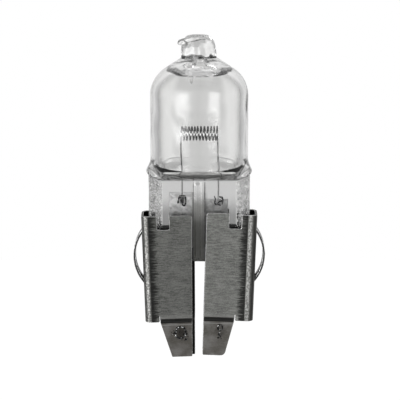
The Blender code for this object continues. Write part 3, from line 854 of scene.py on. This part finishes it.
def wire_piece(name, points, made):
    data = bpy.data.curves.new(name, "CURVE")
    data.dimensions = "3D"
    data.bevel_depth = WIRE / 2
    data.bevel_resolution = 3
    data.use_fill_caps = True
    spline = data.splines.new("POLY")
    spline.points.add(len(points) - 1)
    for spot, point in zip(spline.points, points):
        spot.co = (*point, 1)
    data.materials.append(made)
    return placed(name, data)


def coil_points():
    points = []
    count = round(COIL_TURNS * TURN_STEPS)
    for step in range(count + 1):
        share = step / count
        angle = math.pi - 2 * math.pi * COIL_TURNS * share
        wander = noise.noise(Vector((share * COIL_TURNS * 0.9, 0, 0))) * 0.05 * MM
        x = COIL_CENTRE.x + COIL_LENGTH * (share - 0.5) + wander
        radius = COIL_RADIUS * (1 + 0.02 * noise.noise(Vector((share * 9, 5, 0))))
        points.append(Vector((x, radius * math.cos(angle), COIL_CENTRE.z + radius * math.sin(angle))))
    return points


def leg_points(name, start):
    """From the foil straight up out of the seal, then leaning over to the end of the coil."""
    x = LEG_SEAL_X[name]
    guide = [
        Vector((x, LEG_Y, coil_low.z)),
        Vector((x, LEG_Y, coil_low.z + 2 * MM)),
        Vector((x, LEG_Y, CAVITY_ENTRY)),
        Vector((x + (start.x - x) * 0.4, LEG_Y + (start.y - LEG_Y) * 0.4, CAVITY_ENTRY + 1.5 * MM)),
        Vector((start.x - 0.02 * MM, start.y, start.z - 1.0 * MM)),
        start,
    ]
    return smooth_path(guide, LEG_POINTS)


coil = coil_points()
left_leg = leg_points("left", coil[0])
right_leg = leg_points("right", coil[-1])
route = left_leg[:-1] + coil + right_leg[-2::-1]
filament = wire_piece("tungsten_filament", route, tungsten_finish())
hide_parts("filament")
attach(filament, "lamp")
print("filament wire, mm:", round(sum((b - a).length for a, b in zip(route, route[1:])) / MM, 1))

# %% [markdown]
# ## Sealing foils and welds
#
# Quartz hardly grows when it is hot and tungsten does, so a wire would crack the seal. Foil thinner
# than a hair bridges the gap. Each foil is a thin, faintly buckled sheet with a bright etched edge,
# and the filament's leg is welded to it through a scrap of metal that melts into a ragged splash.

# %% Foils
# painted light: the same molybdenum is drawn lighter on the left foil than on the right
FOIL_PAINTED_LIGHT = {"left": 0.85, "right": 0.54}
FOIL_COLUMNS, FOIL_ROWS = 22, 48
FOIL_THICK = 0.02 * MM
FOIL_WAVE = 0.03 * MM


def foil_finish(name, node, light):
    made, tree, shader = finish(name, 0.45, 1.0)
    place = millimetres(tree)
    low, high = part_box(node)
    xyz = axes(place)
    from_side = distance(xyz["X"], (low.x + high.x) / 2 / MM)
    half = (high.x - low.x) / 2 / MM
    side_edge = step_up(from_side, half - 0.16, half - 0.05)
    top_edge = step_up(xyz["Z"], high.z / MM - 0.14, high.z / MM - 0.05)
    edge = maths("MAXIMUM", side_edge, top_edge)
    tone = grain(place, 1.4, 4.0, 0.6)
    dull = ramp(tone, [(0.3, 0.7 * light), (0.7, 1.3 * light)])
    feed(shader, {"Base Color": mixed(edge, dull, (0.8, 0.8, 0.81))})
    bumped(shader, grain(millimetres(tree, (1, 1, 0.2)), 6.0, 2.0), 0.03 * MM)
    return made


def foil_point(x, middle, z, at_edge):
    """A point of the foil: buckled everywhere, and ragged at the edge."""
    ragged = Vector((0, 0, 0))
    if at_edge:
        ragged = Vector((1, 0, 1)) * FOIL_WAVE * noise.noise(Vector((x, 0, z)) / (0.25 * MM))
    buckle = FOIL_WAVE * noise.noise(Vector((x, 7, z)) / (1.3 * MM))
    return Vector((x, middle + buckle, z)) + ragged


def foil(name):
    node = f"foil_{name}"
    low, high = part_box(node)
    middle = (low.y + high.y) / 2
    bm = bmesh.new()
    grid = []
    for r in range(FOIL_ROWS + 1):
        z = low.z + (high.z - low.z) * r / FOIL_ROWS
        line = []
        for c in range(FOIL_COLUMNS + 1):
            x = low.x + (high.x - low.x) * c / FOIL_COLUMNS
            at_edge = c in (0, FOIL_COLUMNS) or r == FOIL_ROWS
            line.append(bm.verts.new(foil_point(x, middle, z, at_edge)))
        grid.append(line)
    for a, b in zip(grid, grid[1:]):
        for i in range(FOIL_COLUMNS):
            bm.faces.new((a[i], a[i + 1], b[i + 1], b[i]))
    made = foil_finish(f"molybdenum_{name}", node, FOIL_PAINTED_LIGHT[name])
    thing = piece(f"sealing_foil_{name}", bm, [made])
    thick = thing.modifiers.new("foil", "SOLIDIFY")
    thick.thickness = FOIL_THICK
    thick.offset = 0
    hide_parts(node)
    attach(thing, "lamp")
    print(thing.name, "size, mm:", [round(v / MM, 2) for v in high - low])


for name in SIDES:
    foil(name)

# %% Weld splashes
LOOP_POINTS = 26
LOOP_SIDES = 10
# each loop of melted metal: its route in mm from the middle of the weld, and its thickness
SPLASH_LOOPS = {
    "left": [
        ([(-0.55, -0.45), (-0.45, 0.1), (-0.3, 0.5), (-0.15, 0.2), (-0.12, -0.4)], 0.10),
        ([(0.1, 0.45), (0.12, -0.2), (0.05, -0.6), (0.35, -0.72), (0.5, -0.2), (0.42, 0.5)], 0.11),
        ([(-0.4, 0.6), (-0.1, 0.66), (0.2, 0.6), (0.45, 0.62)], 0.06),
    ],
    "right": [
        ([(-0.55, 0.65), (-0.4, 0.2), (-0.5, -0.3), (-0.2, -0.55)], 0.08),
        ([(0.05, 0.5), (0.2, 0.55), (0.45, 0.4), (0.4, 0), (0.1, -0.1), (-0.05, -0.45), (0.3, -0.6)], 0.11),
        ([(0.5, 0.6), (0.6, 0.1), (0.5, -0.5)], 0.07),
    ],
}
splash_colours = [(0.44, 0.006), (0.58, 0.03), (0.68, 0.85)]
splash_metal = worn_metal(
    "weld_splash", (1, 1, 1), (5.0, 3.0), splash_colours, [(0.4, 0.6), (0.7, 0.2)], (9.0, 2.0), 0.05
)


def splash(name):
    """A ragged weld: rolled loops of melted metal over the leg."""
    node = f"weld_tab_{name}"
    low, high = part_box(node)
    centre = (low + high) / 2
    rolls = []
    for points, radius in SPLASH_LOOPS[name]:
        path = smooth_path([centre + Vector((x, -0.02, z)) * MM for x, z in points], LOOP_POINTS)
        radii = [1.25 * radius * MM * (0.75 + 0.5 * noise.noise(p / (0.2 * MM))) for p in path]
        radii[0] *= 0.35
        radii[-1] *= 0.35
        rolls.append(roll(path, radii, LOOP_SIDES))
    thing = piece(f"weld_splash_{name}", merged(rolls), [splash_metal])
    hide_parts(node)
    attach(thing, "lamp")
    print(thing.name, len(rolls), "loops")


for name in SIDES:
    splash(name)

# %% [markdown]
# ## Outer leads
#
# Two thick molybdenum wires leave the seal and go down between the tabs, where they are welded.
# Their CAD shape is right, so only the finish changes: heat has dulled them unevenly.

# %% Lead finish
lead_colours, lead_roughness = [(0.3, 0.12), (0.7, 0.34)], [(0.3, 0.55), (0.7, 0.3)]
lead_metal = worn_metal(
    "lead_wire", (1, 1, 0.25), (3.0, 4.0), lead_colours, lead_roughness, (8.0, 2.0), 0.02
)
for name in SIDES:
    lead = frame["nodes"][f"outer_lead_{name}"]
    lead.data.materials.clear()
    lead.data.materials.append(lead_metal)

# %% [markdown]
# ## Contact clips
#
# Each clip is one stamping of thin plated steel, folded round the pinch. Its CAD mesh is right, so it
# stays. A weld, a planar dissolve and a bevel give it the rolled burr of a sheared edge, which is
# where sheet metal catches the light. The patterns use the clip's own axes, in mm: inward from the
# web's outer face, and up from the web's middle.

# %% Finish of the clips
# painted light: the same steel is drawn darker on the left clip than on the right
CLIP_PAINTED_LIGHT = {"left": 0.138, "right": 0.193}
FOLD_WIDTH = {"left": 0.98, "right": 1.25}
FOLD_HIGHLIGHT = {"left": 0.50, "right": 0.92}
SCORCH = {"left": 0.75, "right": 0.35}
FLANGE_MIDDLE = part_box("clip_left")[1].y - SHEET / 2
TAB_MIDDLE = 0.45 * MM
TAB_TOP = (-9.2, -9.6)
JOGGLE = (-9.6, -8.7)
CREASE_HEIGHT = -9.72
WELD_RISE = {"left": 3.4 * MM, "right": 3.6 * MM}  # above the tab's foot
LEAD_END_X = {
    "left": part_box("outer_lead_left")[0].x + 0.25 * MM,
    "right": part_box("outer_lead_right")[1].x - 0.25 * MM,
}
PALE, DIM = (1.5, 1.52, 1.44), (0.55, 0.56, 0.53)  # of the sheet, times its CLIP_PAINTED_LIGHT


def torn_beside_fold(tree, here, inward, fold, steel):
    """The steel darker in a band beside the fold, with dark tears where it was stretched there, and where
    the tears are.
    """
    combs = grain(millimetres(tree, (0.06, 0.06, 1), here), 12.0, 4.0)
    reach = plus(inward, times(combs, -3.4))
    past_fold = step_up(inward, fold - 0.2, fold)
    beside = times(past_fold, step_up(inward, fold + 1.2, fold + 0.1))
    torn = times(past_fold, step_up(reach, fold - 0.85, fold - 1.35))
    steel = mixed(times(beside, 0.42), steel, (0.03, 0.03, 0.028))
    return mixed(times(torn, 0.8), steel, (0.01, 0.01, 0.01)), torn


def pitted_fold_and_highlight(place, inward, name, steel):
    """The steel with its fold pitted, a painted highlight along it and painted shade either side, and the
    relief of the pits.
    """
    fold = FOLD_WIDTH[name]
    on_fold = times(step_up(inward, fold, fold - 0.2), step_up(inward, 0.02, 0.12))
    from_highlight = distance(inward, FOLD_HIGHLIGHT[name])
    pits = step_up(grain(place, 4.2, 2.0), 0.44, 0.56)
    # painted highlight along the fold, with painted shade either side of it
    fold_highlight = mixed(step_up(from_highlight, 0.45, 0.05), (0.085, 0.085, 0.08), (0.5, 0.5, 0.485))
    pitted = mixed(times(pits, 0.62), fold_highlight, (0.07, 0.07, 0.066))
    return mixed(on_fold, steel, pitted), times(on_fold, pits)


def heated_tab(inward, height, broad, steel):
    """The steel browned on the tab, with painted light on the bend and a painted highlight along the
    crease, and where the bend is.
    """
    heat = mixed(step_up(broad, 0.35, 0.65), (0.10, 0.091, 0.080), (0.20, 0.190, 0.182))
    steel = mixed(times(step_up(height, *TAB_TOP), 0.75), steel, heat)
    bend = times(step_up(height, -9.45, -9.2), step_up(height, -7.6, -8.7))
    bend = times(bend, step_up(inward, 1.9, 2.2))
    # painted light: the bend is drawn paler
    steel = mixed(times(bend, 0.7), steel, (0.24, 0.24, 0.23))
    # painted highlight: a pale line along the crease
    crease_highlight = step_up(distance(height, CREASE_HEIGHT), 0.10, 0.02)
    return mixed(times(crease_highlight, 0.4), steel, (0.4, 0.4, 0.39)), bend


def scorched(tree, place, name, steel):
    """The steel darkened round the weld by its heat."""
    weld_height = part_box(f"clip_{name}")[0].z + WELD_RISE[name]
    xyz = axes(millimetres(tree))
    aside = minus(xyz["X"], LEAD_END_X[name] / MM)
    above = minus(xyz["Z"], weld_height / MM)
    away = maths("SQRT", plus(times(aside, aside), times(above, above)))
    away = plus(away, times(grain(place, 1.6, 3.0), 1.1))
    scorch = times(step_up(away, 1.55, 0.9), SCORCH[name])
    return mixed(scorch, steel, (0.02, 0.018, 0.016))


def shaded_inside(tree, xyz, inward, steel):
    """Painted shade inside the clip: its inner faces are drawn nearly black."""
    inputs = {"Value": xyz["Z"], "From Min": JOGGLE[0], "From Max": JOGGLE[1]}
    inputs.update({"To Min": TAB_MIDDLE / MM, "To Max": FLANGE_MIDDLE / MM})
    middle = add(tree, "MapRange", inputs).outputs[0]
    buried = minus(middle, distance(xyz["Y"]))
    inside_shade = times(step_up(buried, 0.02, 0.1), step_up(inward, 0.24, 0.28))
    return mixed(inside_shade, steel, (0.012, 0.012, 0.011))


def clip_finish(name, side):
    made, tree, shader = finish(f"clip_steel_{name}", 0.4, 1.0)
    here = clip_frames[name]
    place = millimetres(tree, origin=here)
    xyz = axes(place)
    inward = times(xyz["X"], -side)
    # fine rolled scratches run across the sheet, over broad patches and a fine grain
    scratches = grain(millimetres(tree, (0.12, 0.12, 1), here), 11.0, 4.0)
    broad = grain(place, 0.55, 3.0)
    fine = grain(place, 9.0, 3.0)
    tone = plus(times(scratches, 0.45), times(broad, 0.2), times(fine, 0.35))
    light = CLIP_PAINTED_LIGHT[name]
    steel = ramp(tone, [(0.34, scaled(DIM, light)), (0.66, scaled(PALE, light))])
    steel, torn = torn_beside_fold(tree, here, inward, FOLD_WIDTH[name], steel)
    steel, relief = pitted_fold_and_highlight(place, inward, name, steel)
    steel, bend = heated_tab(inward, xyz["Z"], broad, steel)
    steel = scorched(tree, place, name, steel)
    steel = shaded_inside(tree, xyz, inward, steel)
    dullness = ramp(tone, [(0.3, 0.5), (0.7, 0.32)])
    metal = minus(1.0, times(bend, 0.75))
    feed(shader, {"Base Color": steel, "Metallic": metal, "Roughness": dullness})
    ridges = bumped(shader, scratches, 0.012 * MM)
    ridges = bumped(shader, relief, 0.03 * MM, under=ridges)
    bumped(shader, times(torn, -1.0), 0.03 * MM, under=ridges)
    return made


# %% Dress the clips
BURR = 0.09 * MM
JOINED = 0.002 * MM  # points nearer than this become one
SHEARED = 1  # the burr's place in the clip's list of materials

# the bright rolled burr along a sheared edge
burr_colours, burr_roughness = [(0.32, 0.25), (0.55, 0.85)], [(0.3, 0.5), (0.7, 0.22)]
sheared_edge = worn_metal(
    "sheared_edge", (1, 1, 1), (4.0, 3.0), burr_colours, burr_roughness, (4.0, 3.0), 0.03
)
for name, side in SIDES.items():
    clip = frame["nodes"][f"clip_{name}"]
    clip.data.materials.clear()
    clip.data.materials.append(clip_finish(name, side))
    clip.data.materials.append(sheared_edge)
    weld = clip.modifiers.new("joined", "WELD")
    weld.merge_threshold = JOINED
    flat = clip.modifiers.new("flat", "DECIMATE")
    flat.decimate_type = "DISSOLVE"
    flat.angle_limit = math.radians(1.0)
    burr = clip.modifiers.new("burr", "BEVEL")
    burr.width = BURR
    burr.material = SHEARED
    burr.segments = 3
    burr.limit_method = "ANGLE"
    burr.angle_limit = math.radians(50)
    clip.modifiers.new("shading", "WEIGHTED_NORMAL")
    print(clip.name, len(clip.modifiers), "modifiers")

# %% [markdown]
# ## Marks of the spot welds
#
# The tabs are spot welded to the leads. The electrode sinks into the hot steel, throws up a ragged
# ring and spits small beads round it. Each mark is a lumpy roll closed on itself with beads beside
# it, all set half into the sheet, so that they stand up as real relief. Both sides are welded.

# %% Weld marks
BEAD_FLAT = 0.6
RING_STEPS = 49
RING_TALL = 1.15
# beads of spatter: how far aside and up from the weld's middle, and radius, in mm
LEFT_BEADS = [
    (0.72, -0.85, 0.16), (0.55, -1.0, 0.10), (-0.95, -0.05, 0.13),
    (-1.15, -0.2, 0.08), (-0.6, 0.75, 0.09), (0.95, -0.5, 0.08),
    (-1.3, 0.1, 0.06), (0.3, -0.15, 0.12), (-0.2, 0.1, 0.10),
    (0.85, -0.15, 0.10), (-0.75, -0.45, 0.11), (0.1, -0.95, 0.10),
    (-1.0, 0.3, 0.07),
]
RIGHT_BEADS = [
    (-0.12, -0.75, 0.15), (-0.22, -1.0, 0.13), (-0.05, -1.25, 0.16),
    (-0.30, -1.45, 0.12), (0.10, -1.6, 0.09), (0.18, -1.05, 0.08),
]
# clip, face, height above the tab's foot, the ring's radius and thickness in mm, and beads
WELD_MARKS = [
    ("left", "front", WELD_RISE["left"], 0.70, 0.14, LEFT_BEADS),
    ("right", "front", 3.95 * MM, 0.33, 0.10, RIGHT_BEADS),
    ("left", "back", 3.2 * MM, 0.5, 0.09, LEFT_BEADS[:4]),
    ("right", "back", 3.5 * MM, 0.45, 0.09, RIGHT_BEADS[:3]),
]
mark_colours = [(0.42, 0.012), (0.58, 0.10), (0.70, 0.75)]
mark_metal = worn_metal(
    "spot_weld", (1, 1, 1), (5.0, 3.0), mark_colours, [(0.4, 0.55), (0.7, 0.2)], (9.0, 2.0), 0.05
)


def bead(centre, radius, seed):
    """A lump of spatter: a small ball pushed in and out by noise and flattened on the sheet."""
    bm = bmesh.new()
    bmesh.ops.create_icosphere(bm, subdivisions=3, radius=radius)
    for vertex in bm.verts:
        swing = noise.noise(vertex.co / (0.5 * radius) + Vector((seed, 0, 0)))
        vertex.co *= 1 + 0.35 * swing
        vertex.co.y *= BEAD_FLAT
        vertex.co += centre
    return bm


def melted_ring(centre, rise, radius, width):
    """A ragged roll of melted steel, closed on itself."""
    path = []
    for turn in np.linspace(0, 2 * math.pi, RING_STEPS):
        swing = noise.noise(Vector((math.cos(turn), math.sin(turn), rise * 99)))
        spread = radius * (1 + 0.22 * swing)
        path.append(centre + Vector((spread * math.cos(turn), 0, RING_TALL * spread * math.sin(turn))))
    radii = [width * (1 + 0.5 * noise.noise(p / (0.2 * MM))) for p in path]
    radii[-1] = radii[0]
    return roll(path, radii, 12)


def weld_mark(name, face, rise, radius, width, beads):
    """A ring of melted steel over the lead on the tab's outer face, with beads round it."""
    way = {"front": -1, "back": 1}[face]
    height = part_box(f"clip_{name}")[0].z + rise
    centre = Vector((LEAD_END_X[name], way * (TAB_MIDDLE + SHEET / 2), height))
    lumps = [melted_ring(centre, rise, radius * MM, width * MM)]
    for i, (x, z, size) in enumerate(beads):
        lumps.append(bead(centre + Vector((x, 0, z)) * MM, size * MM, i * 3.7))
    thing = piece(f"weld_mark_{name}_{face}", merged(lumps), [mark_metal])
    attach(thing, "lamp")
    print(thing.name, len(beads), "beads")


for mark in WELD_MARKS:
    weld_mark(*mark)

# %% [markdown]
# ## Contact springs
#
# A narrow strip is lanced out of each web and bowed, and it flattens as the bulb slides into its holder.
# Its feet stay where they are, and the piece rides on the lamp.

# %% Springs
SPRING_FOOT = 0.4 * MM
FOOT_GAP = 0.03 * MM  # taken off the chord
BOW_STEPS = 48
SPRING_BURR = 0.04 * MM
SPRING_SHARP = math.radians(50)


def spring_finish():
    made, tree, shader = finish("spring_steel", 0.35, 1.0)
    lines = grain(millimetres(tree, (1, 0.25, 1)), 7.0, 3.0)
    spots = grain(millimetres(tree), 3.0, 3.0)
    tone = plus(times(lines, 0.6), times(spots, 0.4))
    colour, dullness = ramp(tone, [(0.3, 0.02), (0.7, 0.09)]), ramp(tone, [(0.3, 0.45), (0.7, 0.28)])
    feed(shader, {"Base Color": colour, "Roughness": dullness})
    bumped(shader, lines, 0.02 * MM)
    return made


def spring_outline(height):
    """The strip from its side, as (out, up) from the web's middle, round its whole edge."""
    half = (height - 2 * SPRING_FOOT - FOOT_GAP) / 2
    radius = (half**2 + SPRING_BOW**2) / (2 * SPRING_BOW)
    reach = math.asin(half / radius)
    foot = half + SPRING_FOOT
    outer, inner = [(0, -foot)], [(-SHEET, -foot)]
    for step in range(BOW_STEPS + 1):
        angle = reach * (step / (BOW_STEPS // 2) - 1)
        for face, thickness in ((outer, 0), (inner, SHEET)):
            out = (radius - thickness) * math.cos(angle) - radius + SPRING_BOW - SHRINK
            face.append((out, (radius - thickness) * math.sin(angle)))
    return [*outer, (0, foot), (-SHEET, foot), *inner[::-1]]


def spring(name, side, steel):
    low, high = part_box(f"contact_spring_{name}")
    outline = spring_outline(high.z - low.z)
    bm = bmesh.new()
    rows = []
    for y in (-0.5, 0, 0.5):
        rows.append([bm.verts.new((side * out, y * SPRING_WIDTH, z)) for out, z in outline])
    skin(bm, rows)
    count = len(outline)
    for row in (rows[0], rows[-1]):
        for i in range(count // 2 - 1):
            bm.faces.new((row[i], row[i + 1], row[count - 2 - i], row[count - 1 - i]))
    bmesh.ops.recalc_face_normals(bm, faces=bm.faces)
    sharp = [edge for edge in bm.edges if edge.calc_face_angle(0) > SPRING_SHARP]
    bmesh.ops.bevel(
        bm, geom=sharp, offset=SPRING_BURR, segments=2, profile=0.5, affect="EDGES", material=1
    )
    bm.transform(clip_frames[name])
    return piece(f"bowed_spring_{name}", bm, [steel, sheared_edge], 40)


left_spring_low, left_spring_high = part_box("contact_spring_left")
SPRING_WIDTH = left_spring_high.y - left_spring_low.y
spring_steel = spring_finish()
for name, side in SIDES.items():
    thing = spring(name, side, spring_steel)
    low, high = thing.bound_box[0], thing.bound_box[6]
    print(name, "spring box", [round(v / MM, 2) for v in (*low, *high)])
    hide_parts(f"contact_spring_{name}")
    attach(thing, "lamp")
    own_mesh(thing)
